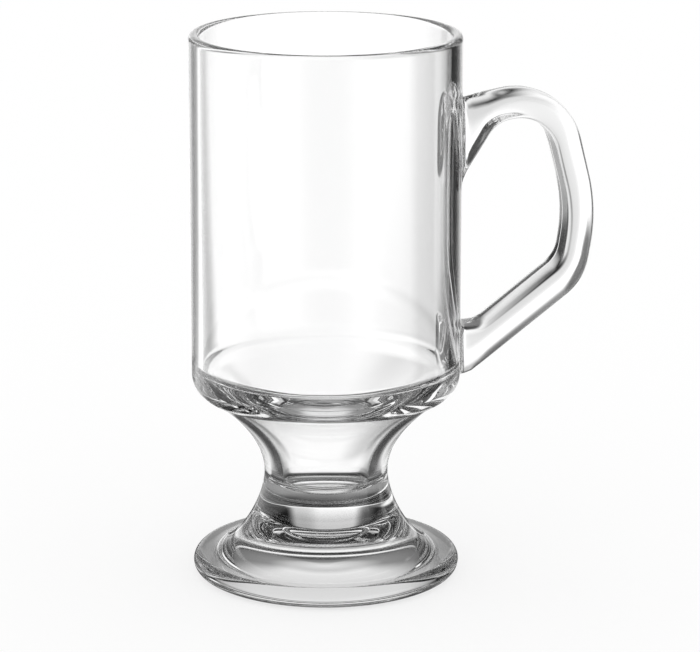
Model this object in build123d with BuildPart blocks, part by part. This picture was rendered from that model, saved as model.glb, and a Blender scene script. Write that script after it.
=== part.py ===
"""Footed glass mug for hot coffee: a straight bowl, a hollow stem, a hollow foot and a side handle.

Millimetres, +Z up. The origin is on the axis, in the plane that the foot stands on, and the
handle reaches along +X. The pieces are pressed glass and hot-welded to each other, so
neighbours meet face to face at the welds.
"""

import os
from math import cos, radians, sin, tan

from build123d import *

# Overall
overall_height = 148.0

# Bowl
bowl_diameter = 72.5
wall_thickness = 3.0
shoulder_height = 55.6
shoulder_radius = 6.5
shoulder_angle = 58.0
inner_shoulder_radius = 3.0

# Stem: the pulls are the lengths of the curves' handles at their two ends
waist_diameter = 33.6
waist_height = 28.0
stem_pull_at_bowl = 8.7
stem_pull_at_waist = 9.0

# Well: the inside of the bowl runs on down the stem
stem_wall_at_bowl = 6.6
stem_wall_at_waist = 5.2
well_pull_at_bowl = 10.8
well_pull_at_waist = 11.1
well_side_height = 4.0
well_corner_radius = 3.0

# Foot
foot_diameter = 72.4
foot_edge_thickness = 5.4
foot_top_width = 2.0
foot_top_slope = 3.5
flare_pull_at_waist = 9.0
flare_pull_at_foot = 7.0
stand_ring_width = 4.7

# Hollow under the foot
hollow_depth = 13.5
hollow_top_diameter = 20.0
hollow_pull_at_top = 8.0
hollow_pull_at_ring = 7.0
hollow_ring_angle = 68.0
glass_over_hollow = 10.5

# Handle bar: corners of its outer edge before rounding, in the XZ plane
handle_depth = 12.0
bar_thickness = 7.8
strut_thickness = 9.2
arch_corner_reach = 65.4
arch_corner_height = 134.4
arch_root_height = 129.1
arch_radius = 18.5
bow_corner_reach = 74.6
bow_corner_height = 97.8
bow_radius = 48.0
heel_corner_reach = 71.2
heel_corner_height = 78.0
heel_radius = 16.0
outer_edge_round = 3.6
inner_edge_round = 1.6

# Handle ends: how far each one flares before it meets the bowl
upper_flare_reach = 9.0
upper_flare_height = 104.9
upper_flare_radius = 8.0
lower_flare_reach = 5.8
lower_flare_rise = 13.8
lower_flare_radius = 5.0
strut_end_reach = 2.6
strut_end_drop = 2.4
weld_round = 1.8

# Worked out from the sizes above
bowl_radius = bowl_diameter / 2
inner_radius = bowl_radius - wall_thickness
lip_radius = wall_thickness / 2
side_top = overall_height - lip_radius
shoulder_centre = (bowl_radius - shoulder_radius, shoulder_height)
weld_radius = bowl_radius - shoulder_radius * (1 - cos(radians(shoulder_angle)))
weld_height = shoulder_height - shoulder_radius * sin(radians(shoulder_angle))
stem_slope = 270 - shoulder_angle
waist_radius = waist_diameter / 2
well_floor = hollow_depth + glass_over_hollow
foot_weld_height = hollow_depth + glass_over_hollow / 2
foot_nose = foot_edge_thickness / 2
foot_nose_centre = foot_diameter / 2 - foot_nose
hollow_radius = foot_nose_centre - stand_ring_width
hollow_top_radius = hollow_top_diameter / 2
handle_root = bowl_radius - wall_thickness / 2
strut_end_height = shoulder_height - strut_end_drop
touch_distance = 0.01

os.makedirs("parts", exist_ok=True)


def along(start, angle, distance):
    """The point at a distance from a start point, in the direction of an angle in degrees."""
    return Vector(*start) + Vector(cos(radians(angle)), sin(radians(angle))) * distance


def inset_corner(before, corner, after, inset_before, inset_after):
    """The corner of two runs moved to their right-hand side by their own insets."""
    into = (Vector(*corner) - Vector(*before)).normalized()
    out = (Vector(*after) - Vector(*corner)).normalized()
    turn = into.cross(out).Z
    return Vector(*corner) + (into * inset_after - out * inset_before) / turn


def back_to_reach(corner, run, reach):
    """The point on the line through a corner, along a run, at a distance from the axis."""
    return corner - run * ((corner.X - reach) / run.X)


def lies_beside(edge, outline):
    """Whether an edge of the handle's flat sides belongs to an outline drawn in the XZ plane."""
    middle = Plane.XZ.to_local_coords(edge @ 0.5)
    return outline.distance_to(Vector(middle.X, middle.Y)) < touch_distance


# Ends of the sloping weld between bowl and stem, square to the glass
stem_top = (weld_radius, weld_height)
well_top = along(stem_top, 180 - shoulder_angle, stem_wall_at_bowl)

# Bowl: straight side, rounded lip, and a shoulder that turns in to the weld
with BuildPart() as bowl:
    with BuildSketch(Plane.YZ):
        with BuildLine():
            shoulder = CenterArc(shoulder_centre, shoulder_radius, -shoulder_angle, shoulder_angle)
            Line(shoulder @ 1, (bowl_radius, side_top))
            lip = CenterArc((bowl_radius - lip_radius, side_top), lip_radius, 0, 180)
            inner_rise = (inner_radius - well_top.X) / tan(radians(shoulder_angle))
            inner_bend = (inner_radius, well_top.Y + inner_rise)
            FilletPolyline(lip @ 1, inner_bend, well_top, radius=inner_shoulder_radius)
            Line(well_top, shoulder @ 0)
        make_face()
    revolve(axis=Axis.Z)

bowl.part.label = "bowl"
export_step(bowl.part, "parts/bowl.step")

# Stem and foot: one outline from the bowl's weld to the table, cut apart in the thick glass
waist = (waist_radius, waist_height)
well_side_top = (waist_radius - stem_wall_at_waist, well_floor + well_side_height)
well_corner = (well_side_top[0], well_floor)
hollow_edge = (hollow_top_radius, hollow_depth)
hollow_ring = (hollow_radius, 0)

with BuildPart() as pedestal:
    with BuildSketch(Plane.YZ):
        with BuildLine():
            Bezier(
                stem_top,
                along(stem_top, stem_slope, stem_pull_at_bowl),
                along(waist, 90, stem_pull_at_waist),
                waist,
            )
            nose = CenterArc((foot_nose_centre, foot_nose), foot_nose, -90, 180 - foot_top_slope)
            flare_end = along(nose @ 1, 180 - foot_top_slope, foot_top_width)
            Line(nose @ 1, flare_end)
            Bezier(
                flare_end,
                along(flare_end, 180 - foot_top_slope, flare_pull_at_foot),
                along(waist, -90, flare_pull_at_waist),
                waist,
            )
            Line(nose @ 0, hollow_ring)
            Bezier(
                hollow_ring,
                along(hollow_ring, 180 - hollow_ring_angle, hollow_pull_at_ring),
                along(hollow_edge, 0, hollow_pull_at_top),
                hollow_edge,
            )
            Polyline(hollow_edge, (0, hollow_depth), (0, well_floor))
            FilletPolyline((0, well_floor), well_corner, well_side_top, radius=well_corner_radius)
            Bezier(
                well_side_top,
                along(well_side_top, 90, well_pull_at_waist),
                along(well_top, stem_slope, well_pull_at_bowl),
                well_top,
            )
            Line(well_top, stem_top)
        make_face()
    revolve(axis=Axis.Z)

foot_weld = Plane.XY.offset(foot_weld_height)

# Stem: drawn in from the bowl's shoulder to the waist, closed below the well
with BuildPart() as stem:
    add(pedestal.part)
    split(bisect_by=foot_weld, keep=Keep.TOP)

stem.part.label = "stem"
export_step(stem.part, "parts/stem.step")

# Foot: flares from the waist to a round edge, hollow inside the ring that it stands on
with BuildPart() as foot:
    add(pedestal.part)
    split(bisect_by=foot_weld, keep=Keep.BOTTOM)

foot.part.label = "foot"
export_step(foot.part, "parts/foot.step")

# Handle: one bar from the upper weld over the arch and down to the lower weld
arch_root = (handle_root, arch_root_height)
arch_corner = (arch_corner_reach, arch_corner_height)
bow_corner = (bow_corner_reach, bow_corner_height)
heel_corner = (heel_corner_reach, heel_corner_height)
strut_end = (bowl_radius + strut_end_reach, strut_end_height)
strut_root = (handle_root, strut_end_height)

inner_arch = inset_corner(arch_root, arch_corner, bow_corner, bar_thickness, bar_thickness)
inner_bow = inset_corner(arch_corner, bow_corner, heel_corner, bar_thickness, bar_thickness)
inner_heel = inset_corner(bow_corner, heel_corner, strut_end, bar_thickness, strut_thickness)

arch_run = (Vector(*arch_corner) - Vector(*arch_root)).normalized()
strut_run = (Vector(*heel_corner) - Vector(*strut_end)).normalized()
upper_flare = back_to_reach(inner_arch, arch_run, bowl_radius + upper_flare_reach)
lower_flare = back_to_reach(inner_heel, strut_run, bowl_radius + lower_flare_reach)
upper_flare_root = (handle_root, upper_flare_height)
lower_flare_root = (handle_root, strut_end_height + lower_flare_rise)

with BuildPart() as handle:
    with BuildSketch(Plane.XZ):
        with BuildLine():
            outer_edge = FilletPolyline(
                arch_root,
                arch_corner,
                bow_corner,
                heel_corner,
                strut_end,
                strut_root,
                radius=[arch_radius, bow_radius, heel_radius, weld_round],
            )
            inner_edge = FilletPolyline(
                upper_flare_root,
                upper_flare,
                inner_arch,
                inner_bow,
                inner_heel,
                lower_flare,
                lower_flare_root,
                radius=[
                    upper_flare_radius,
                    arch_radius - bar_thickness,
                    bow_radius - bar_thickness,
                    heel_radius - bar_thickness,
                    lower_flare_radius,
                ],
            )
            Line(outer_edge @ 0, inner_edge @ 0)
            Line(outer_edge @ 1, inner_edge @ 1)
        make_face()
    extrude(amount=handle_depth / 2, both=True)
    sides = handle.faces().filter_by(Axis.Y).edges()
    fillet(sides.filter_by(lambda edge: lies_beside(edge, outer_edge)), outer_edge_round)
    sides = handle.faces().filter_by(Axis.Y).edges()
    fillet(sides.filter_by(lambda edge: lies_beside(edge, inner_edge)), inner_edge_round)
    add(bowl.part)
    fillet(handle.edges(Select.NEW), weld_round)
    add(bowl.part, mode=Mode.SUBTRACT)

handle.part.label = "handle"
export_step(handle.part, "parts/handle.step")
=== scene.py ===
"""Footed glass mug in a plain bright studio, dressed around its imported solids.

Sizes are in millimetres and angles in degrees, in the frame of the solids: the axis of the bowl
is Z, the foot stands on Z = 0 and the handle reaches along +X. Meshes are made in metres.
"""

import logging
import math
from dataclasses import dataclass, field
from enum import Enum

import bmesh
import bpy
from mathutils import Matrix, Vector


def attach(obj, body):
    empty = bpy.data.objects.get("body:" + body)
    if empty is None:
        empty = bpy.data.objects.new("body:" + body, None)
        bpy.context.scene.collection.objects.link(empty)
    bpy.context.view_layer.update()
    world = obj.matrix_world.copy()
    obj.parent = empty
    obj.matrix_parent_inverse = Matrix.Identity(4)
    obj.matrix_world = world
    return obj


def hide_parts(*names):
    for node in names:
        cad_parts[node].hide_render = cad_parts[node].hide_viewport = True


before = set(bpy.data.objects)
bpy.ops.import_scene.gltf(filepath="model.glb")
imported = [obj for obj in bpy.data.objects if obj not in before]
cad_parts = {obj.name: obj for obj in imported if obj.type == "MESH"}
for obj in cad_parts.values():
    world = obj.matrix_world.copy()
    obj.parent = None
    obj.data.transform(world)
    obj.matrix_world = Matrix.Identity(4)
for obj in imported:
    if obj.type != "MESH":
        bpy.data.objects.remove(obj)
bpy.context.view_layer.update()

LOG = logging.getLogger("mug")
MM = 0.001

# Points of an outline that lie closer than this, in millimetres, are one point
SAME_POINT = 1e-4

# Vertices of a mesh that lie closer than this, in metres, are merged
SAME_VERTEX_M = 1e-6

# Length of the very short step at each end of a curve, as a share of its other steps
END_STEP = 0.1

# How often a search halves its range
HALVINGS = 40

# Distance from the axis and height, or any other pair
Point = tuple[float, float]

# Start, pull at the start, pull at the end, end
Curve = tuple[Point, Point, Point, Point]

MATH = "ShaderNodeMath"
VECTOR_MATH = "ShaderNodeVectorMath"
MAP_RANGE = "ShaderNodeMapRange"
SMOOTH = {"interpolation_type": "SMOOTHSTEP"}


class Zone(Enum):
    """The four pieces of glass that are welded into one mug."""

    FOOT = "foot"
    STEM = "stem"
    BOWL = "bowl"
    HANDLE = "handle"


class Face(Enum):
    """The two kinds of face on a piece, by the number of their material."""

    FREE = 0
    FUSED = 1


def linear(hex_colour: str) -> tuple[float, float, float, float]:
    """Turn an sRGB hex colour into linear values.

    Args:
        hex_colour: six hex digits.

    Returns:
        Red, green, blue and an alpha of 1.
    """
    parts = [int(hex_colour[i:i + 2], 16) / 255 for i in (0, 2, 4)]
    rgb = [c / 12.92 if c <= 0.04045 else ((c + 0.055) / 1.055) ** 2.4 for c in parts]
    return (rgb[0], rgb[1], rgb[2], 1.0)


WHITE = linear("FFFFFF")


def add_node(tree: bpy.types.NodeTree, kind: str, settings: dict | None = None,
             inputs: dict | None = None) -> bpy.types.Node:
    """Add a node with its settings, values and links.

    Args:
        tree: the node tree that takes it.
        kind: the node's type name.
        settings: the node's own properties.
        inputs: socket name or number to a value, or to the output socket that feeds it.

    Returns:
        The new node.
    """
    node = tree.nodes.new(kind)
    for name, value in (settings or {}).items():
        setattr(node, name, value)
    for name, value in (inputs or {}).items():
        if isinstance(value, bpy.types.NodeSocket):
            tree.links.new(value, node.inputs[name])
        else:
            node.inputs[name].default_value = value
    return node


def new_material(name: str) -> bpy.types.Material:
    """Make an empty node material.

    Args:
        name: the material's name.

    Returns:
        The material, with no nodes.
    """
    material = bpy.data.materials.new(name)
    material.use_nodes = True
    material.node_tree.nodes.clear()
    return material


@dataclass(frozen=True)
class ClearGlass:
    """Soda-lime glass, pressed in a mould and fire-polished."""

    ior: float = 1.52
    roughness: float = 0.0
    colour: str = "FEFEFE"
    ripple_mm: float = 14.0
    ripple_height_mm: float = 0.012

    def make(self) -> bpy.types.Material:
        """Build the glass material.

        Returns:
            The material of the free faces.
        """
        # Colourless and mirror smooth: the eye sees only what the glass bends and mirrors, and the
        # faint ripple that the mould leaves makes those lines waver a little
        material = new_material("soda_lime_glass")
        tree = material.node_tree
        place = add_node(tree, "ShaderNodeTexCoord")
        ripple = add_node(tree, "ShaderNodeTexNoise", {}, {
            "Vector": place.outputs["Object"], "Scale": 1 / (self.ripple_mm * MM), "Detail": 1.0})
        bump = add_node(tree, "ShaderNodeBump", {}, {
            "Height": ripple.outputs["Fac"], "Distance": self.ripple_height_mm * MM, "Strength": 1.0})
        glass = add_node(tree, "ShaderNodeBsdfPrincipled", {}, {
            "Base Color": linear(self.colour), "Roughness": self.roughness, "IOR": self.ior,
            "Transmission Weight": 1.0, "Normal": bump.outputs["Normal"]})
        add_node(tree, "ShaderNodeOutputMaterial", {}, {"Surface": glass.outputs[0]})
        return material


@dataclass(frozen=True)
class WeldFace:
    """Glass fused to glass, where two pieces became one."""

    roughness: float = 0.0
    ior: float = 1.0
    alpha: float = 0.0

    def make(self) -> bpy.types.Material:
        """Build the material of the fused faces.

        Returns:
            The material of the weld faces.
        """
        # The glass is the same on both sides, so light passes unbent and the eye sees no seam
        material = new_material("fused_glass_weld")
        tree = material.node_tree
        clear = add_node(tree, "ShaderNodeBsdfPrincipled", {}, {
            "Base Color": WHITE, "Roughness": self.roughness, "IOR": self.ior, "Alpha": self.alpha})
        add_node(tree, "ShaderNodeOutputMaterial", {}, {"Surface": clear.outputs[0]})
        return material


def towards(start: Point, angle: float, distance: float) -> Point:
    """The point at a distance from a start point, in the direction of an angle."""
    turn = math.radians(angle)
    return (start[0] + distance * math.cos(turn), start[1] + distance * math.sin(turn))


def between(start: Point, end: Point, share: float) -> Point:
    """The point at a share of the way from one point to another."""
    return (start[0] + (end[0] - start[0]) * share, start[1] + (end[1] - start[1]) * share)


def heading(start: Point, end: Point) -> Vector:
    """The direction from one point to another, of length 1."""
    return (Vector(end) - Vector(start)).normalized()


def shares(steps: int) -> list[float]:
    """Equal steps from 0 to 1, with one very short step at each end that keeps the end's slope true."""
    short = END_STEP / steps
    return [0.0, short] + [step / steps for step in range(1, steps)] + [1 - short, 1.0]


def straight(start: Point, end: Point, steps: int) -> list[Point]:
    """Points along a straight run, both ends included."""
    return [between(start, end, step / steps) for step in range(steps + 1)]


def arc(centre: Point, radius: float, start: float, end: float, steps: int) -> list[Point]:
    """Points along a circular arc.

    Args:
        centre: the arc's centre.
        radius: the arc's radius.
        start: the first angle.
        end: the last angle.
        steps: how many equal steps to take.

    Returns:
        The points, with one more close to each end.
    """
    return [towards(centre, start + (end - start) * share, radius) for share in shares(steps)]


def cubic(curve: Curve, steps: int, first: float = 0.0, last: float = 1.0) -> list[Point]:
    """Points along a cubic curve.

    Args:
        curve: the curve.
        steps: how many equal steps to take.
        first: share of the curve to start from.
        last: share of the curve to end at.

    Returns:
        The points, with one more close to each end.
    """
    points = []
    for share in shares(steps):
        at = first + (last - first) * share
        rest = 1 - at
        weights = (rest ** 3, 3 * at * rest ** 2, 3 * at * at * rest, at ** 3)
        points.append(tuple(sum(w * p[k] for w, p in zip(weights, curve)) for k in (0, 1)))
    return points


def share_at_height(curve: Curve, height: float) -> float:
    """Share of a rising cubic curve at which it reaches a height.

    Args:
        curve: the curve.
        height: the height to reach.

    Returns:
        The share, from 0 to 1.
    """
    low, high = 0.0, 1.0
    for _ in range(HALVINGS):
        middle = (low + high) / 2
        if cubic(curve, 1, middle, middle)[0][1] < height:
            low = middle
        else:
            high = middle
    return low


def height_at(line: list[Point], reach: float) -> float:
    """Height of a line where it first crosses a distance from the axis.

    Args:
        line: the line's points.
        reach: the distance from the axis.

    Returns:
        The height there, or the first point's height if the line doesn't get there.
    """
    for start, end in zip(line, line[1:]):
        if min(start[0], end[0]) <= reach <= max(start[0], end[0]) and start[0] != end[0]:
            return between(start, end, (reach - start[0]) / (end[0] - start[0]))[1]
    return line[0][1]


def inset_corner(before: Point, corner: Point, after: Point, inset_before: float,
                 inset_after: float) -> Point:
    """The corner of two runs moved to their right-hand side by their own insets.

    Args:
        before: where the first run starts.
        corner: where the runs meet.
        after: where the second run ends.
        inset_before: how far the first run moves.
        inset_after: how far the second run moves.

    Returns:
        The new corner.
    """
    into = heading(before, corner)
    out = heading(corner, after)
    turn = into.x * out.y - into.y * out.x
    return tuple(Vector(corner) + (into * inset_after - out * inset_before) / turn)


def slide_to_reach(corner: Point, run: Vector, reach: float) -> Point:
    """The point on the line through a corner, along a run, at a distance from the axis."""
    return tuple(Vector(corner) - run * ((corner[0] - reach) / run.x))


def rounded_path(corners: list[Point], radii: list[float], steps: int) -> list[list[Point]]:
    """Straight runs joined by tangent arcs.

    Args:
        corners: the first point, each corner before rounding, and the last point.
        radii: one radius for each corner.
        steps: how many steps each arc takes.

    Returns:
        The runs in order: a straight one, an arc, a straight one and so on.
    """
    runs = []
    start = Vector(corners[0])
    for before, corner, after, radius in zip(corners, corners[1:], corners[2:], radii):
        into = heading(before, corner)
        out = heading(corner, after)
        turn = math.atan2(into.x * out.y - into.y * out.x, into.dot(out))
        tangent = radius * math.tan(abs(turn) / 2)
        first = Vector(corner) - into * tangent
        side = Vector((-into.y, into.x)) * math.copysign(radius, turn)
        start_angle = math.degrees(math.atan2(-side.y, -side.x))
        runs.append([tuple(start), tuple(first)])
        runs.append(arc(tuple(first + side), radius, start_angle, start_angle + math.degrees(turn), steps))
        start = Vector(corner) + out * tangent
    runs.append([tuple(start), tuple(corners[-1])])
    return runs


def joined(runs: list[list[Point]]) -> list[Point]:
    """Make one line of several runs.

    Args:
        runs: the runs, end to end.

    Returns:
        Their points, with each shared end once.
    """
    line = [runs[0][0]]
    for run in runs:
        for point in run:
            if math.dist(point, line[-1]) > SAME_POINT:
                line.append(point)
    return line


def spread(runs: list[list[Point]], count: int) -> list[Point]:
    """Evenly spaced points along several runs taken as one line.

    Args:
        runs: the runs, end to end.
        count: how many steps to take.

    Returns:
        One point more than there are steps.
    """
    line = joined(runs)
    lengths = [0.0]
    for start, end in zip(line, line[1:]):
        lengths.append(lengths[-1] + math.dist(start, end))
    points = []
    at = 0
    for step in range(count + 1):
        wanted = lengths[-1] * step / count
        while at < len(line) - 2 and lengths[at + 1] < wanted:
            at += 1
        share = (wanted - lengths[at]) / (lengths[at + 1] - lengths[at])
        points.append(between(line[at], line[at + 1], share))
    return points


def deselect() -> None:
    """Leave edit mode and deselect everything."""
    if bpy.context.mode != "OBJECT":
        bpy.ops.object.mode_set(mode="OBJECT")
    bpy.ops.object.select_all(action="DESELECT")


def use(piece: bpy.types.Object) -> None:
    """Select one object alone and make it the active one.

    Args:
        piece: the object to work on.
    """
    deselect()
    piece.select_set(True)
    bpy.context.view_layer.objects.active = piece


@dataclass(frozen=True)
class ProfileSteps:
    """How many steps each run of the round glass's profile takes."""

    hollow_top: int = 8
    hollow: int = 48
    stand_ring: int = 3
    foot_edge: int = 20
    flare: int = 30
    waist: int = 16
    neck: int = 36
    shoulder: int = 16
    side: int = 46
    lip: int = 16
    bend: int = 12
    slope: int = 4
    well: int = 40
    well_floor: int = 10


@dataclass
class RoundGlass:
    """Foot, stem and bowl: one profile turned about the axis.

    The pulls are the lengths of the curves' handles at their two ends.
    """

    height: float = 148.0
    bowl_radius: float = 36.25
    wall: float = 3.0
    shoulder_height: float = 55.6
    shoulder_radius: float = 6.5
    shoulder_angle: float = 58.0
    inner_shoulder_radius: float = 3.0
    neck_wall_at_bowl: float = 6.6
    neck_wall_at_waist: float = 5.2
    well_pull_at_bowl: float = 10.8
    well_pull_at_waist: float = 11.1
    well_side: float = 4.0
    well_corner: float = 3.0
    waist_radius: float = 16.8
    waist_height: float = 28.0
    stem_pull_at_bowl: float = 8.7
    stem_pull_at_waist: float = 9.0
    foot_radius: float = 36.2
    foot_edge: float = 5.4
    foot_top_width: float = 2.0
    foot_top_slope: float = 3.5
    flare_pull_at_waist: float = 9.0
    flare_pull_at_foot: float = 7.0
    stand_ring: float = 4.7
    hollow_depth: float = 13.5
    hollow_top: float = 10.0
    hollow_ring_angle: float = 68.0
    hollow_pull_at_top: float = 8.0
    hollow_pull_at_ring: float = 7.0
    glass_over_hollow: float = 10.5
    steps: ProfileSteps = ProfileSteps()
    turns: int = 160

    @property
    def shoulder(self) -> Point:
        """Centre of the shoulder's round."""
        return (self.bowl_radius - self.shoulder_radius, self.shoulder_height)

    @property
    def weld(self) -> Point:
        """Outer end of the sloping weld between stem and bowl."""
        return towards(self.shoulder, -self.shoulder_angle, self.shoulder_radius)

    @property
    def well_top(self) -> Point:
        """Inner end of that weld, square to the glass."""
        return towards(self.weld, 180 - self.shoulder_angle, self.neck_wall_at_bowl)

    @property
    def stem_slope(self) -> float:
        """Direction in which the glass runs down from that weld."""
        return 270 - self.shoulder_angle

    @property
    def waist(self) -> Point:
        """The narrowest place of the outside."""
        return (self.waist_radius, self.waist_height)

    @property
    def foot_weld_height(self) -> float:
        """Height of the weld between foot and stem, in the middle of the glass over the hollow."""
        return self.hollow_depth + self.glass_over_hollow / 2

    def past_bowl_weld(self, radius: float, height: float) -> float:
        """Distance of a point above the sloping weld of the bowl, below it if negative."""
        slope = math.radians(90 - self.shoulder_angle)
        return (radius - self.weld[0]) * math.cos(slope) + (height - self.weld[1]) * math.sin(slope)

    def wall_radius(self, height: float) -> float:
        """Outer radius of the bowl at a height, along its shoulder and side.

        Args:
            height: the height above the table.

        Returns:
            The radius of the outer face there.
        """
        drop = max(0.0, self.shoulder_height - height)
        drop = min(drop, self.shoulder_radius)
        return self.shoulder[0] + math.sqrt(self.shoulder_radius ** 2 - drop ** 2)

    def foot_runs(self) -> list[list[Point]]:
        """The half section from the middle of the hollow round the foot's edge up to the waist.

        Returns:
            The runs in order.
        """
        nose = self.foot_edge / 2
        nose_centre = (self.foot_radius - nose, nose)
        ring = (nose_centre[0] - self.stand_ring, 0.0)
        hollow_top = (self.hollow_top, self.hollow_depth)
        hollow = (hollow_top, towards(hollow_top, 0, self.hollow_pull_at_top),
                  towards(ring, 180 - self.hollow_ring_angle, self.hollow_pull_at_ring), ring)
        edge = arc(nose_centre, nose, -90, 90 - self.foot_top_slope, self.steps.foot_edge)
        inwards = 180 - self.foot_top_slope
        flare_start = towards(edge[-1], inwards, self.foot_top_width)
        flare = (flare_start, towards(flare_start, inwards, self.flare_pull_at_foot),
                 towards(self.waist, -90, self.flare_pull_at_waist), self.waist)
        parting = share_at_height(flare, self.foot_weld_height)
        return [
            straight((0.0, self.hollow_depth), hollow_top, self.steps.hollow_top),
            cubic(hollow, self.steps.hollow),
            straight(ring, (nose_centre[0], 0.0), self.steps.stand_ring),
            edge,
            cubic(flare, self.steps.flare, 0.0, parting),
            cubic(flare, self.steps.waist, parting, 1.0),
        ]

    def outside_runs(self) -> list[list[Point]]:
        """The half section from the waist up the outside of stem and bowl and over the lip.

        Returns:
            The runs in order.
        """
        lip = self.wall / 2
        lip_centre = (self.bowl_radius - lip, self.height - lip)
        side_bottom = (self.bowl_radius, self.shoulder_height)
        side_top = (self.bowl_radius, self.height - lip)
        neck = (self.waist, towards(self.waist, 90, self.stem_pull_at_waist),
                towards(self.weld, self.stem_slope, self.stem_pull_at_bowl), self.weld)
        return [
            cubic(neck, self.steps.neck),
            arc(self.shoulder, self.shoulder_radius, -self.shoulder_angle, 0, self.steps.shoulder),
            straight(side_bottom, side_top, self.steps.side),
            arc(lip_centre, lip, 0, 180, self.steps.lip),
        ]

    def inside_runs(self) -> list[list[Point]]:
        """The half section from the lip down the inside to the middle of the well's floor.

        Returns:
            The runs in order.
        """
        inner = self.bowl_radius - self.wall
        floor = self.hollow_depth + self.glass_over_hollow
        down = self.stem_slope
        to_bend = (self.well_top[0] - inner) / math.cos(math.radians(180 - down))
        bend = towards(self.well_top, down, to_bend)
        well_side = (self.waist_radius - self.neck_wall_at_waist, floor + self.well_side)
        well = (self.well_top, towards(self.well_top, down, self.well_pull_at_bowl),
                towards(well_side, 90, self.well_pull_at_waist), well_side)
        side, turn, slope = rounded_path(
            [(inner, self.height - self.wall / 2), bend, self.well_top],
            [self.inner_shoulder_radius], self.steps.bend)
        low_side, corner, bottom = rounded_path(
            [well_side, (well_side[0], floor), (0.0, floor)], [self.well_corner], self.steps.bend)
        return [
            straight(*side, self.steps.side),
            turn,
            straight(*slope, self.steps.slope),
            cubic(well, self.steps.well),
            low_side,
            corner,
            straight(*bottom, self.steps.well_floor),
        ]

    def build(self, materials: dict[Zone, bpy.types.Material]) -> bpy.types.Object:
        """Turn the profile into one closed mesh.

        Args:
            materials: a material for each zone, set on the faces of that zone.

        Returns:
            The turned object.
        """
        profile = joined(self.foot_runs() + self.outside_runs() + self.inside_runs())
        deselect()
        bpy.ops.mesh.primitive_circle_add(vertices=len(profile), radius=1.0, fill_type="NOTHING")
        body = bpy.context.object
        body.name = "round_glass"
        for vertex, (radius, height) in zip(body.data.vertices, profile):
            vertex.co = (radius * MM, 0.0, height * MM)
        bpy.ops.object.mode_set(mode="EDIT")
        mesh = bmesh.from_edit_mesh(body.data)
        mesh.verts.ensure_lookup_table()
        bpy.ops.mesh.select_mode(type="EDGE")
        bpy.ops.mesh.select_all(action="DESELECT")
        closing = mesh.edges.get((mesh.verts[0], mesh.verts[len(profile) - 1]))
        closing.select_set(True)
        bpy.ops.mesh.delete(type="EDGE")
        bpy.ops.mesh.select_mode(type="VERT")
        bpy.ops.mesh.select_all(action="SELECT")
        bpy.ops.mesh.spin(steps=self.turns, angle=math.tau, center=(0, 0, 0), axis=(0, 0, 1))
        bpy.ops.mesh.select_all(action="SELECT")
        bpy.ops.mesh.remove_doubles(threshold=SAME_VERTEX_M)
        bpy.ops.mesh.normals_make_consistent(inside=False)
        bpy.ops.object.mode_set(mode="OBJECT")
        zones = list(Zone)
        for zone in zones:
            body.data.materials.append(materials[zone])
        for face in body.data.polygons:
            radius = face.center.xy.length / MM
            height = face.center.z / MM
            zone = Zone.BOWL if self.past_bowl_weld(radius, height) > 0 else Zone.STEM
            if height < self.foot_weld_height:
                zone = Zone.FOOT
            face.material_index = zones.index(zone)
        return body


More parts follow.
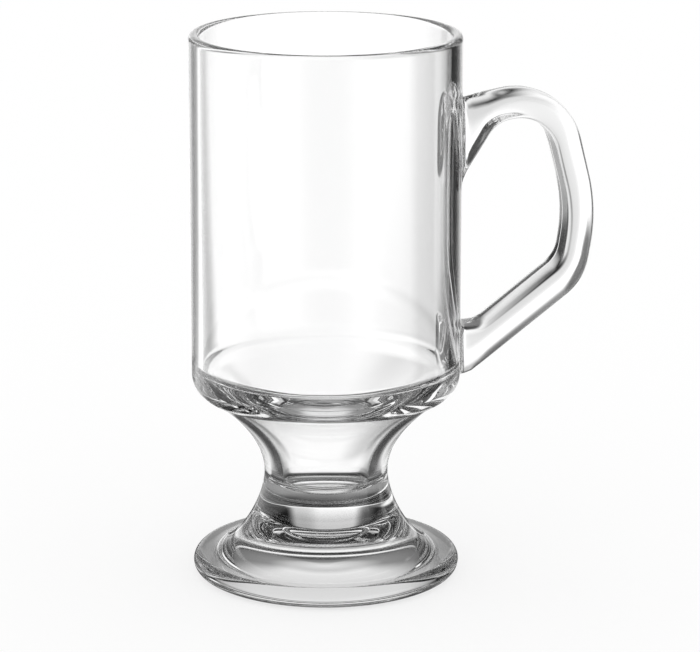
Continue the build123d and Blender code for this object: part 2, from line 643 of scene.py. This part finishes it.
@dataclass
class HandleBar:
    """The handle: a bar with an arch, a bowed grip and a strut, flared at both welds."""

    bowl: RoundGlass
    depth: float = 12.0
    bar: float = 7.8
    strut: float = 9.2

    # Corners of the outer edge before rounding
    arch_root_height: float = 129.1
    arch_corner: Point = (65.4, 134.4)
    arch_radius: float = 18.5
    bow_corner: Point = (74.6, 97.8)
    bow_radius: float = 48.0
    heel_corner: Point = (71.2, 78.0)
    heel_radius: float = 16.0
    strut_end_reach: float = 2.6
    strut_end_drop: float = 2.4

    # Flares of the inner edge: how far out from the bowl each starts, and where it ends on the wall
    upper_flare_reach: float = 9.0
    upper_flare_height: float = 104.9
    upper_flare_radius: float = 8.0
    lower_flare_reach: float = 5.8
    lower_flare_rise: float = 13.8
    lower_flare_radius: float = 5.0

    # Powers of the section's curve: 2 is an ellipse, and a higher one is squarer
    outer_power: float = 2.5
    inner_power: float = 8.0

    # Fillet at each weld, how deep the bar sinks into the wall, and where the plain bar ends, in fillets
    weld_round: float = 1.8
    weld_sink: float = 0.8
    bar_clear: float = 1.25

    # Distance over which the bar bends to the wall's roundness
    bend_zone: float = 9.0

    # Steps round the bar, along a corner and a fillet, and along root, arch, grip, bow, grip, heel, strut
    around: int = 48
    corner_steps: int = 24
    weld_steps: int = 6
    run_steps: tuple[int, ...] = (22, 26, 8, 14, 6, 14, 30)

    def edges(self) -> tuple[list[Point], list[Point]]:
        """Follow both edges of the bar from the upper to the lower weld.

        Returns:
            Matched points along the outer and the inner edge.
        """
        wall = self.bowl.bowl_radius
        root = wall - self.bowl.wall / 2
        arch_root = (root, self.arch_root_height)
        strut_end = (wall + self.strut_end_reach, self.bowl.shoulder_height - self.strut_end_drop)
        strut_root = (root, strut_end[1])
        arch = inset_corner(arch_root, self.arch_corner, self.bow_corner, self.bar, self.bar)
        bow = inset_corner(self.arch_corner, self.bow_corner, self.heel_corner, self.bar, self.bar)
        heel = inset_corner(self.bow_corner, self.heel_corner, strut_end, self.bar, self.strut)
        arch_run = heading(arch_root, self.arch_corner)
        strut_run = heading(strut_end, self.heel_corner)
        upper_flare = slide_to_reach(arch, arch_run, wall + self.upper_flare_reach)
        lower_flare = slide_to_reach(heel, strut_run, wall + self.lower_flare_reach)
        outer = rounded_path(
            [arch_root, self.arch_corner, self.bow_corner, self.heel_corner, strut_end, strut_root],
            [self.arch_radius, self.bow_radius, self.heel_radius, self.weld_round], self.corner_steps)
        inner = rounded_path(
            [(root, self.upper_flare_height), upper_flare, arch, bow, heel, lower_flare,
             (root, strut_root[1] + self.lower_flare_rise)],
            [self.upper_flare_radius, self.arch_radius - self.bar, self.bow_radius - self.bar,
             self.heel_radius - self.bar, self.lower_flare_radius], self.corner_steps)

        # At its ends the inner edge has a flare, and the outer one a corner below the strut
        pairs = [(outer[:1], inner[:3])]
        pairs += [([run], [beside]) for run, beside in zip(outer[1:6], inner[3:8])]
        pairs += [(outer[6:], inner[8:])]
        outside, inside = [], []
        for (outer_runs, inner_runs), steps in zip(pairs, self.run_steps):
            outside += spread(outer_runs, steps)[1 if outside else 0:]
            inside += spread(inner_runs, steps)[1 if inside else 0:]
        return outside, inside

    def section(self, thickness: float, grow: float) -> list[Point]:
        """The outline across the bar: nearly an oval outside, nearly square to the fingers inside.

        Args:
            thickness: the bar's thickness from its inner to its outer edge.
            grow: how far the outline stands off on all sides, for the flare at a weld.

        Returns:
            Points of (share of the way from the inner to the outer edge, depth).
        """
        line = []
        for step in range(self.around):
            turn = math.tau * (step + 0.5) / self.around
            out, across = math.cos(turn), math.sin(turn)
            power = self.outer_power if out > 0 else self.inner_power
            out, across = (math.copysign(abs(part) ** (2 / power), part) for part in (out, across))
            line.append((0.5 + out * (0.5 + grow / thickness), across * (self.depth / 2 + grow)))
        return line

    def ring(self, outer: Point, inner: Point) -> list[Vector]:
        """One ring of points across the bar, bent to the bowl's wall where it comes near it.

        Args:
            outer: the outer edge's point.
            inner: the inner edge's point.

        Returns:
            The ring's points in metres.
        """
        points = []
        for share, depth in self.section(math.dist(outer, inner), 0.0):
            x, z = between(inner, outer, share)
            gap = x - self.bowl.wall_radius(z)
            near = min(1.0, max(0.0, 1 - (gap - self.weld_round) / self.bend_zone))
            x -= near * near * (x - math.sqrt(x * x - depth * depth))
            points.append(Vector((x, depth, z)) * MM)
        return points

    def weld_ring(self, top: float, bottom: float, flip: bool, gap: float, grow: float) -> list[Vector]:
        """One ring of the fillet that runs out onto the bowl's wall.

        Args:
            top: height of the bar's upper edge there.
            bottom: height of the bar's lower edge there.
            flip: whether the outer edge is the lower one.
            gap: distance of the ring from the wall.
            grow: how far the fillet stands off the bar.

        Returns:
            The ring's points in metres.
        """
        points = []
        for share, depth in self.section(top - bottom, grow):
            z = top - (top - bottom) * share if flip else bottom + (top - bottom) * share
            reach = self.bowl.wall_radius(z) + gap
            points.append(Vector((math.sqrt(reach ** 2 - depth ** 2), depth, z)) * MM)
        return points

    def weld_rings(self, outer_line: list[Point], inner_line: list[Point],
                   flip: bool) -> list[list[Vector]]:
        """The rings of one weld, from the bar through its fillet into the wall.

        Args:
            outer_line: the outer edge, from the weld.
            inner_line: the inner edge, from the weld.
            flip: whether the outer edge is the lower one.

        Returns:
            The rings in order.
        """
        rings = []
        for step in range(self.weld_steps + 1):
            turn = math.radians(90 * step / self.weld_steps)
            gap = self.weld_round * (1 - math.sin(turn))
            grow = self.weld_round * (1 - math.cos(turn))
            reach = self.bowl.bowl_radius + gap
            heights = (height_at(outer_line, reach), height_at(inner_line, reach))
            rings.append(self.weld_ring(max(heights), min(heights), flip, gap, grow))
        rings.append(self.weld_ring(max(heights), min(heights), flip, -self.weld_sink, self.weld_round))
        return rings

    def rings(self) -> list[list[Vector]]:
        """All rings of the handle.

        Returns:
            The rings in order, from the upper weld to the lower one.
        """
        outside, inside = self.edges()
        middle = []
        for outer, inner in zip(outside, inside):
            gap = min(reach - self.bowl.wall_radius(height) for reach, height in (outer, inner))
            if gap > self.weld_round * self.bar_clear:
                middle.append(self.ring(outer, inner))
        half = len(outside) // 2
        upper = self.weld_rings(outside[:half], inside[:half], False)
        lower = self.weld_rings(outside[half:][::-1], inside[half:][::-1], True)
        return upper[::-1] + middle + lower

    def build(self, material: bpy.types.Material) -> bpy.types.Object:
        """Wrap a grid round the rings and close both ends.

        Args:
            material: the zone material of the handle.

        Returns:
            The closed handle.
        """
        rings = self.rings()
        columns = self.around + 1
        deselect()
        bpy.ops.mesh.primitive_grid_add(x_subdivisions=self.around, y_subdivisions=len(rings) - 1, size=2)
        bar = bpy.context.object
        bar.name = "handle_bar"
        for row, ring in enumerate(rings):
            for column in range(columns):
                bar.data.vertices[row * columns + column].co = ring[column % self.around]
        bpy.ops.object.mode_set(mode="EDIT")
        bpy.ops.mesh.select_all(action="SELECT")
        bpy.ops.mesh.remove_doubles(threshold=SAME_VERTEX_M)
        bpy.ops.mesh.select_all(action="DESELECT")
        bpy.ops.mesh.select_non_manifold(extend=False)
        bpy.ops.mesh.fill_holes(sides=0)
        bpy.ops.mesh.select_all(action="SELECT")
        bpy.ops.mesh.normals_make_consistent(inside=False)
        bpy.ops.object.mode_set(mode="OBJECT")
        bar.data.materials.append(material)
        return bar


@dataclass
class Mug:
    """The whole mug: the round glass and its handle, fused and parted into four pieces."""

    body: RoundGlass = field(default_factory=RoundGlass)
    glass: ClearGlass = ClearGlass()
    weld: WeldFace = WeldFace()

    # An open edge this close to the bowl's sloping weld belongs to it
    weld_reach: float = 0.01

    # Faces that meet at less than this angle are shaded as one
    smooth_angle: float = 40.0

    def build(self) -> dict[Zone, bpy.types.Object]:
        """Model the pieces and dress them.

        Returns:
            Each zone's piece.
        """
        zones = {zone: new_material(f"zone_{zone.value}") for zone in Zone}
        body = self.body.build(zones)
        bar = HandleBar(self.body).build(zones[Zone.HANDLE])
        use(body)
        union = body.modifiers.new("weld", "BOOLEAN")
        union.operation = "UNION"
        union.solver = "EXACT"
        union.material_mode = "TRANSFER"
        union.object = bar
        bpy.ops.object.modifier_apply(modifier=union.name)
        bpy.data.objects.remove(bar, do_unlink=True)
        use(body)
        bpy.ops.object.mode_set(mode="EDIT")
        bpy.ops.mesh.select_all(action="SELECT")
        bpy.ops.mesh.separate(type="MATERIAL")
        bpy.ops.object.mode_set(mode="OBJECT")
        pieces = {}
        for piece in list(bpy.context.selected_objects):
            used = piece.data.materials[piece.data.polygons[0].material_index]
            zone = next(zone for zone, material in zones.items() if material == used)
            pieces[zone] = piece
            piece.name = f"glass_{zone.value}"
            piece.data.name = piece.name
        glass = self.glass.make()
        weld = self.weld.make()
        for piece in pieces.values():
            self.dress(piece, glass, weld)
            self.close(piece)
        for material in zones.values():
            bpy.data.materials.remove(material)
        return pieces

    def dress(self, piece: bpy.types.Object, glass: bpy.types.Material, weld: bpy.types.Material) -> None:
        """Give a piece its two materials, with all its faces free ones.

        Args:
            piece: the open piece.
            glass: the material of its free faces.
            weld: the material of its fused faces.
        """
        piece.data.materials.clear()
        piece.data.materials.append(glass)
        piece.data.materials.append(weld)
        for face in piece.data.polygons:
            face.material_index = Face.FREE.value

    def close(self, piece: bpy.types.Object) -> None:
        """Fill a piece's welds with fused faces and smooth its shading.

        Args:
            piece: the open piece.
        """
        use(piece)
        bpy.ops.object.mode_set(mode="EDIT")
        bpy.ops.mesh.select_mode(type="EDGE")
        bpy.ops.mesh.select_all(action="DESELECT")
        mesh = bmesh.from_edit_mesh(piece.data)
        before = len(mesh.faces)
        for edge in mesh.edges:
            ends = [self.body.past_bowl_weld(v.co.xy.length / MM, v.co.z / MM) for v in edge.verts]
            if edge.is_boundary and max(abs(end) for end in ends) < self.weld_reach:
                edge.select_set(True)
        if any(edge.select for edge in mesh.edges):
            bpy.ops.mesh.bridge_edge_loops()
        bpy.ops.mesh.select_all(action="DESELECT")
        bpy.ops.mesh.select_non_manifold(extend=False)
        bpy.ops.mesh.fill_holes(sides=0)
        mesh = bmesh.from_edit_mesh(piece.data)
        mesh.faces.ensure_lookup_table()
        for face in mesh.faces[before:]:
            face.material_index = Face.FUSED.value
        bmesh.update_edit_mesh(piece.data)
        bpy.ops.mesh.select_all(action="SELECT")
        bpy.ops.mesh.normals_make_consistent(inside=False)
        bpy.ops.object.mode_set(mode="OBJECT")
        bpy.ops.object.shade_smooth_by_angle(angle=math.radians(self.smooth_angle))


@dataclass(frozen=True)
class Sector:
    """A slice of the studio round the mug, with soft sides, in which the light has its own level.

    Azimuths run from 0 in front of the mug through 90 beside its handle to 180 behind it.
    """

    middle: float
    half_width: float
    soft: float
    inside: float
    outside: float = 1.0

    def level(self, tree: bpy.types.NodeTree, direction: bpy.types.NodeSocket) -> bpy.types.NodeSocket:
        """The light's level in a direction.

        Args:
            tree: the node tree that takes the nodes.
            direction: a level direction of length 1, out from the mug's axis.

        Returns:
            The inside level in the middle of the sector, fading to the outside level at its sides.
        """
        turn = math.radians(self.middle)
        nearness = add_node(tree, VECTOR_MATH, {"operation": "DOT_PRODUCT"}, {
            0: direction, 1: (math.sin(turn), -math.cos(turn), 0.0)})
        fade = add_node(tree, MAP_RANGE, SMOOTH, {
            "Value": nearness.outputs["Value"],
            "From Min": math.cos(math.radians(self.half_width + self.soft / 2)),
            "From Max": math.cos(math.radians(self.half_width - self.soft / 2)),
            "To Min": self.outside, "To Max": self.inside})
        return fade.outputs["Result"]


@dataclass
class Studio:
    """Bright-field glass photography: a lit sweep behind, black flags at the sides, a dark room above."""

    # The photograph's camera
    azimuth: float = -11.0
    ground_distance_mm: float = 830.0
    camera_height_mm: float = 288.3
    aim_mm: tuple[float, float, float] = (6.4, -1.2, 68.1)
    roll_radians: float = -0.0012
    lens_mm: float = 163.9
    sensor_mm: float = 36.0

    # What stands dark round the mug, up to the elevations over which it fades out
    right_flag: Sector = Sector(127, 21, 8, inside=0.03)
    right_shade: Sector = Sector(151, 9, 12, inside=0.68)
    side_flag: Sector = Sector(82, 14, 6, inside=0.0)
    left_flag: Sector = Sector(198, 8, 10, inside=0.15)
    room_behind_camera: Sector = Sector(-34, 44, 38, inside=0.0)
    flag_top: Point = (34.0, 48.0)

    # The backdrop is tall only behind the mug: elsewhere it darkens over these elevations
    tall_backdrop: Sector = Sector(172, 27, 14, inside=1.0, outside=0.08)
    low_backdrop_top: Point = (10.0, 16.0)

    # Pairs of an elevation and the light level there
    room_levels: tuple[Point, ...] = (
        (0, 1.15), (12, 1.1), (20, 0.65), (32, 0.6), (40, 0.05), (55, 0.02), (90, 0.15))

    # Pairs of a distance from the axis and the table's painted light level there: bright under the
    # middle of the foot, painted shade under its ring and round it, painted light farther out. Behind
    # the mug distances count more, so that the lit part begins nearer to the foot
    table_levels: tuple[Point, ...] = (
        (0, 0.85), (10, 0.6), (16, 0.3), (28, 0.2), (36, 0.08), (55, 0.02),
        (92, 0.12), (120, 0.95), (160, 1.15))
    lit_table: Sector = Sector(172, 15, 24, inside=1.6)

    # Distances over which the flags' painted shade begins on the table
    flags_on_table: Point = (130.0, 230.0)

    # Painted light on the table under the foot's front, standing in for the light that the foot gathers
    # there, and where it begins and ends
    glow_under_foot: Sector = Sector(-11, 62, 50, inside=0.55, outside=0.0)
    glow_begins: Point = (8.0, 16.0)
    glow_ends: Point = (30.0, 38.0)

    # The table lies a hair below the foot, and this share of its white takes shadows
    table_size_m: float = 12.0
    table_drop_mm: float = 0.4
    shadow_share: float = 0.28

    # Total reflection sends light many times round inside thick glass before it leaves
    bounces: int = 96

    def camera(self) -> None:
        """Put the camera at the photograph's angle."""
        turn = math.radians(self.azimuth)
        place = Vector((math.sin(turn), -math.cos(turn), 0)) * self.ground_distance_mm
        place.z = self.camera_height_mm
        data = bpy.data.cameras.new("camera")
        data.lens = self.lens_mm
        data.sensor_width = self.sensor_mm
        data.sensor_fit = "HORIZONTAL"
        camera = bpy.data.objects.new("camera", data)
        bpy.context.scene.collection.objects.link(camera)
        look = (Vector(self.aim_mm) - place).to_track_quat("-Z", "Y").to_matrix().to_4x4()
        roll = Matrix.Rotation(-self.roll_radians, 4, "Z")
        camera.matrix_world = Matrix.Translation(place * MM) @ look @ roll
        bpy.context.scene.camera = camera

    def level_direction(self, tree: bpy.types.NodeTree, place: bpy.types.NodeSocket
                        ) -> tuple[bpy.types.NodeSocket, bpy.types.NodeSocket]:
        """Split a place round the mug into its level direction and its distance from the axis.

        Args:
            tree: the node tree that takes the nodes.
            place: a position or a direction.

        Returns:
            The sockets of the direction and of the distance.
        """
        flat = add_node(tree, VECTOR_MATH, {"operation": "MULTIPLY"}, {0: place, 1: (1, 1, 0)})
        reach = add_node(tree, VECTOR_MATH, {"operation": "LENGTH"}, {0: flat.outputs[0]})
        unit = add_node(tree, VECTOR_MATH, {"operation": "NORMALIZE"}, {0: flat.outputs[0]})
        return unit.outputs[0], reach.outputs["Value"]

    def flag_light(self, tree: bpy.types.NodeTree, direction: bpy.types.NodeSocket) -> bpy.types.NodeSocket:
        """Share of the light that the flags leave in a direction.

        Args:
            tree: the node tree that takes the nodes.
            direction: a level direction of length 1, out from the mug's axis.

        Returns:
            The share's socket.
        """
        left = self.room_behind_camera.level(tree, direction)
        for flag in (self.right_flag, self.right_shade, self.side_flag, self.left_flag):
            product = add_node(tree, MATH, {"operation": "MULTIPLY"}, {
                0: left, 1: flag.level(tree, direction)})
            left = product.outputs[0]
        return left

    def light_level(self, tree: bpy.types.NodeTree, place: bpy.types.NodeSocket,
                    levels: tuple[Point, ...]) -> bpy.types.NodeSocket:
        """Read a light level off a few stops.

        Args:
            tree: the node tree that takes the nodes.
            place: the place to look up, on the scale of the stops.
            levels: pairs of a place, from 0 up, and the light level there.

        Returns:
            The level's socket.
        """
        span = levels[-1][0]
        top = max(level for _, level in levels)
        share = add_node(tree, MATH, {"operation": "DIVIDE"}, {0: place, 1: span})
        ramp = add_node(tree, "ShaderNodeValToRGB", {}, {"Fac": share.outputs[0]})
        stops = ramp.color_ramp.elements

        # A new stop may start anywhere, because each gets its own place afterwards
        while len(stops) < len(levels):
            stops.new(0.5)
        for stop, (at, level) in zip(stops, levels):
            stop.position = at / span
            stop.color = (level / top, level / top, level / top, 1.0)
        product = add_node(tree, MATH, {"operation": "MULTIPLY"}, {0: ramp.outputs["Color"], 1: top})
        return product.outputs[0]

    def seen_in_glass(self, tree: bpy.types.NodeTree) -> bpy.types.NodeSocket:
        """Tell what is seen in the glass from what is seen past it.

        Args:
            tree: the node tree that takes the nodes.

        Returns:
            1 for light that the glass bends or mirrors, 0 for what the camera or the table sees itself.
        """
        path = add_node(tree, "ShaderNodeLightPath").outputs
        return add_node(tree, MATH, {"operation": "MAXIMUM"}, {
            0: path["Is Transmission Ray"], 1: path["Is Glossy Ray"]}).outputs[0]

    def room_light(self, tree: bpy.types.NodeTree) -> bpy.types.NodeSocket:
        """Light of the flagged room round the mug.

        Args:
            tree: the world's node tree.

        Returns:
            The socket of the light's level.
        """
        place = add_node(tree, "ShaderNodeTexCoord").outputs["Generated"]
        direction, _ = self.level_direction(tree, place)
        height = add_node(tree, "ShaderNodeSeparateXYZ", {}, {0: place})
        rise = add_node(tree, MATH, {"operation": "ARCSINE"}, {0: height.outputs["Z"]})
        degrees = add_node(tree, MATH, {"operation": "DEGREES"}, {0: rise.outputs[0]}).outputs[0]
        backdrop = add_node(tree, MAP_RANGE, SMOOTH, {
            "Value": degrees, "From Min": self.low_backdrop_top[0], "From Max": self.low_backdrop_top[1],
            "To Min": 1.0, "To Max": self.tall_backdrop.level(tree, direction)})
        flagged = add_node(tree, MATH, {"operation": "MULTIPLY"}, {
            0: backdrop.outputs[0], 1: self.flag_light(tree, direction)})
        under_top = add_node(tree, MAP_RANGE, SMOOTH, {
            "Value": degrees, "From Min": self.flag_top[0], "From Max": self.flag_top[1],
            "To Min": flagged.outputs[0], "To Max": 1.0})
        light = add_node(tree, MATH, {"operation": "MULTIPLY"}, {
            0: self.light_level(tree, degrees, self.room_levels), 1: under_top.outputs[0]})
        return light.outputs[0]

    def world(self) -> None:
        """White for the camera and the table; the flagged room for the glass."""
        world = bpy.data.worlds.new("surround")
        bpy.context.scene.world = world
        world.use_nodes = True
        tree = world.node_tree
        tree.nodes.clear()
        room = add_node(tree, "ShaderNodeBackground", {}, {
            "Color": WHITE, "Strength": self.room_light(tree)})
        white = add_node(tree, "ShaderNodeBackground", {}, {"Color": WHITE, "Strength": 1.0})
        mix = add_node(tree, "ShaderNodeMixShader", {}, {
            0: self.seen_in_glass(tree), 1: white.outputs[0], 2: room.outputs[0]})
        add_node(tree, "ShaderNodeOutputWorld", {}, {"Surface": mix.outputs[0]})

    def table_light(self, tree: bpy.types.NodeTree) -> bpy.types.NodeSocket:
        """Light painted on the table as a glow, as the glass sees it: painted shade round the foot, a
        painted pool of light under its front and the flags' painted shade farther out.

        Args:
            tree: the table material's node tree.

        Returns:
            The socket of the light's level.
        """
        place = add_node(tree, "ShaderNodeNewGeometry").outputs["Position"]
        direction, reach_m = self.level_direction(tree, place)
        reach = add_node(tree, MATH, {"operation": "DIVIDE"}, {0: reach_m, 1: MM}).outputs[0]
        counted = add_node(tree, MATH, {"operation": "MULTIPLY"}, {
            0: reach, 1: self.lit_table.level(tree, direction)})
        glow_end = add_node(tree, MAP_RANGE, SMOOTH, {
            "Value": reach, "From Min": self.glow_ends[0], "From Max": self.glow_ends[1],
            "To Min": self.glow_under_foot.level(tree, direction), "To Max": 0.0})
        glow = add_node(tree, MAP_RANGE, SMOOTH, {
            "Value": reach, "From Min": self.glow_begins[0], "From Max": self.glow_begins[1],
            "To Min": 0.0, "To Max": glow_end.outputs[0]})
        level = add_node(tree, MATH, {"operation": "ADD"}, {
            0: self.light_level(tree, counted.outputs[0], self.table_levels), 1: glow.outputs[0]})
        flagged = add_node(tree, MAP_RANGE, {}, {
            "Value": reach, "From Min": self.flags_on_table[0], "From Max": self.flags_on_table[1],
            "To Min": 1.0, "To Max": self.flag_light(tree, direction)})
        light = add_node(tree, MATH, {"operation": "MULTIPLY"}, {
            0: level.outputs[0], 1: flagged.outputs[0]})
        return light.outputs[0]

    def table(self) -> None:
        """A wide table of white paper; as the glass sees it, the table glows with painted light, as if lit
        from behind.
        """
        deselect()
        bpy.ops.mesh.primitive_plane_add(size=self.table_size_m, location=(0, 0, -self.table_drop_mm * MM))
        table = bpy.context.object
        table.name = "white_table"

        # Matt paper: the camera sees plain white with the mug's faint shadow on it
        material = new_material("white_paper_and_painted_glow")
        tree = material.node_tree
        paper = add_node(tree, "ShaderNodeBsdfDiffuse", {}, {"Color": WHITE})
        white = add_node(tree, "ShaderNodeEmission", {}, {"Color": WHITE, "Strength": 1.0})
        plain = add_node(tree, "ShaderNodeMixShader", {}, {
            0: self.shadow_share, 1: white.outputs[0], 2: paper.outputs[0]})
        # As the glass sees it the table glows: this emission paints the light and the shade round the foot
        # onto it
        lit = add_node(tree, "ShaderNodeEmission", {}, {"Color": WHITE, "Strength": self.table_light(tree)})
        mix = add_node(tree, "ShaderNodeMixShader", {}, {
            0: self.seen_in_glass(tree), 1: plain.outputs[0], 2: lit.outputs[0]})
        add_node(tree, "ShaderNodeOutputMaterial", {}, {"Surface": mix.outputs[0]})
        table.data.materials.append(material)

    def build(self) -> None:
        """Set up the whole studio."""
        scene = bpy.context.scene
        scene.view_settings.view_transform = "Standard"
        scene.cycles.max_bounces = self.bounces
        scene.cycles.glossy_bounces = self.bounces
        scene.cycles.transmission_bounces = self.bounces
        scene.cycles.transparent_max_bounces = self.bounces
        self.camera()
        self.world()
        self.table()


def main() -> None:
    """Build the mug and its studio, and report each piece."""
    logging.basicConfig(level=logging.INFO, format="%(name)s: %(message)s")
    mug = Mug()
    pieces = mug.build()
    for zone, piece in pieces.items():
        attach(piece, "root")
        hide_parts(zone.value)
        LOG.info("%s: %d faces", piece.name, len(piece.data.polygons))
    Studio().build()


if __name__ == "__main__":
    main()
